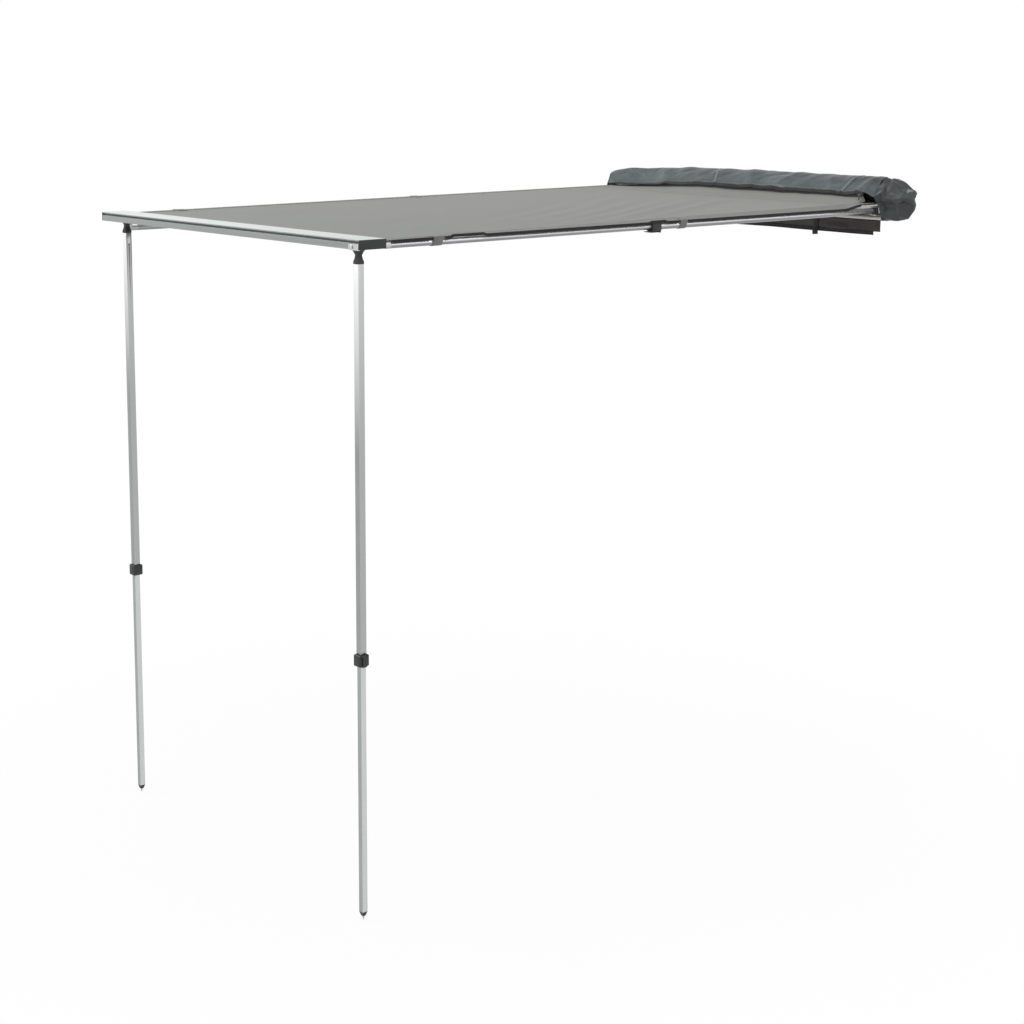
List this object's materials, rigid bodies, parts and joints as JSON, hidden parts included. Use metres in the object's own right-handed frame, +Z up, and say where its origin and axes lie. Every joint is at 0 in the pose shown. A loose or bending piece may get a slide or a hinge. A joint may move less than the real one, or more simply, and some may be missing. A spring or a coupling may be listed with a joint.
{
  "type": "vehicle side awning",
  "caption": "Pull-out side awning: a canopy between a wall-mounted back plate and a front beam, on telescopic arms and folding telescopic legs, with its opened cover.",
  "frame": {"origin": "centre of the back plate's rear face, where the awning is held", "axes": "+X along the front beam and the back plate, towards the near end; +Y from the front beam to the vehicle; +Z up"},
  "size_m": [1.5396, 2.4701, 2.1326],
  "materials": {
    "extrusion": "pale anodised extrusion, fine lengthways drawing lines",
    "tube": "bright drawn tube, satin lower down",
    "steel": "zinc-plated",
    "black_steel": "black powder coat",
    "moulding": "fine moulded grain",
    "cover": "coated dark green-grey cloth, soft sheen, creased",
    "zip": "woven zip tape with moulded teeth",
    "zip_metal": "dark plated casting",
    "webbing": "woven strap",
    "canopy": "warm grey coated canvas, fine weave",
    "hem": "black binding, stitched",
    "tab": "grey webbing loop"
  },
  "bodies": {
    "root": {"back_plate": "extrusion", "near_arm_bracket": "steel", "far_arm_bracket": "steel", "near_arm_pin": "steel", "far_arm_pin": "steel", "near_bar_bracket": "black_steel", "far_bar_bracket": "black_steel", "near_bar_bolt": "steel", "far_bar_bolt": "steel", "cover_hood": "cover", "cover_end_near": "cover", "cover_end_far": "cover", "cover_flap": "cover", "hood_zip": "zip", "flap_zip": "zip", "near_strap": "webbing", "far_strap": "webbing", "canopy": "canopy", "near_hem": "hem", "far_hem": "hem", "near_front_tab": "tab", "near_rear_tab": "tab", "far_front_tab": "tab", "far_rear_tab": "tab"},
    "zip_slider": {"zip_slider": "zip_metal"},
    "beam": {"front_beam": "extrusion", "beam_cap_near": "moulding", "beam_cap_far": "moulding", "near_arm_socket": "steel", "far_arm_socket": "steel", "near_leg_clip": "steel", "far_leg_clip": "steel", "near_leg_pin": "steel", "far_leg_pin": "steel"},
    "near_arm": {"near_arm_plug": "moulding", "near_arm_outer": "tube", "near_arm_lock": "moulding"},
    "near_arm_slider": {"near_arm_inner": "tube", "near_arm_tip": "steel"},
    "near_arm_lever": {"near_arm_lever": "moulding"},
    "near_leg": {"near_leg_knuckle": "moulding", "near_leg_upper": "tube", "near_leg_collar": "moulding"},
    "near_leg_slider": {"near_leg_lower": "tube", "near_leg_foot": "moulding", "near_leg_spike": "steel"},
    "near_leg_lever": {"near_leg_lever": "moulding"},
    "far_arm": {"far_arm_plug": "moulding", "far_arm_outer": "tube", "far_arm_lock": "moulding"},
    "far_arm_slider": {"far_arm_inner": "tube", "far_arm_tip": "steel"},
    "far_arm_lever": {"far_arm_lever": "moulding"},
    "far_leg": {"far_leg_knuckle": "moulding", "far_leg_upper": "tube", "far_leg_collar": "moulding"},
    "far_leg_slider": {"far_leg_lower": "tube", "far_leg_foot": "moulding", "far_leg_spike": "steel"},
    "far_leg_lever": {"far_leg_lever": "moulding"}
  },
  "joints": [
    {"name": "retract", "type": "slide", "parent": "root", "child": "beam", "axis": [0, 1, 0], "range_m": [0, 0.93], "deforming": ["canopy", "near_hem", "far_hem", "near_front_tab", "near_rear_tab", "far_front_tab", "far_rear_tab"]},
    {"name": "near_leg_fold", "type": "hinge", "parent": "beam", "child": "near_leg", "pos_m": [0.664, -2.3755, -0.016], "axis": [0, 1, 0], "range_deg": [0, 89]},
    {"name": "near_leg_slide", "type": "slide", "parent": "near_leg", "child": "near_leg_slider", "axis": [0, 0, 1], "range_m": [0, 0.7]},
    {"name": "near_leg_lever_turn", "type": "hinge", "parent": "near_leg", "child": "near_leg_lever", "pos_m": [0.6803, -2.3755, -1.208], "axis": [0, -1, 0], "range_deg": [0, 110]},
    {"name": "near_arm_swing", "type": "hinge", "parent": "root", "child": "near_arm", "pos_m": [0.683, -0.045, -0.016], "axis": [0, 0, -1], "range_deg": [0, 85]},
    {"name": "near_arm_slide", "type": "slide", "parent": "near_arm", "child": "near_arm_slider", "axis": [0, 1, 0], "range_m": [0, 0.93]},
    {"name": "near_arm_lever_turn", "type": "hinge", "parent": "near_arm", "child": "near_arm_lever", "pos_m": [0.683, -1.178, -0.033], "axis": [1, 0, 0], "range_deg": [0, 100]},
    {"name": "far_leg_fold", "type": "hinge", "parent": "beam", "child": "far_leg", "pos_m": [-0.664, -2.3285, -0.016], "axis": [0, -1, 0], "range_deg": [0, 89]},
    {"name": "far_leg_slide", "type": "slide", "parent": "far_leg", "child": "far_leg_slider", "axis": [0, 0, 1], "range_m": [0, 0.7]},
    {"name": "far_leg_lever_turn", "type": "hinge", "parent": "far_leg", "child": "far_leg_lever", "pos_m": [-0.6803, -2.3285, -1.208], "axis": [0, 1, 0], "range_deg": [0, 110]},
    {"name": "far_arm_swing", "type": "hinge", "parent": "root", "child": "far_arm", "pos_m": [-0.683, -0.085, -0.051], "axis": [0, 0, 1], "range_deg": [0, 85]},
    {"name": "far_arm_slide", "type": "slide", "parent": "far_arm", "child": "far_arm_slider", "axis": [0, 1, 0], "range_m": [0, 0.93]},
    {"name": "far_arm_lever_turn", "type": "hinge", "parent": "far_arm", "child": "far_arm_lever", "pos_m": [-0.683, -1.178, -0.068], "axis": [1, 0, 0], "range_deg": [0, 100]},
    {"name": "zip_slide", "type": "slide", "parent": "root", "child": "zip_slider", "axis": [-1, 0, 0], "range_m": [0, 0.75]}
  ],
  "couplings": [
    {"joint": "near_arm_slide", "follows": "retract", "ratio": 1},
    {"joint": "far_arm_slide", "follows": "retract", "ratio": 1}
  ]
}
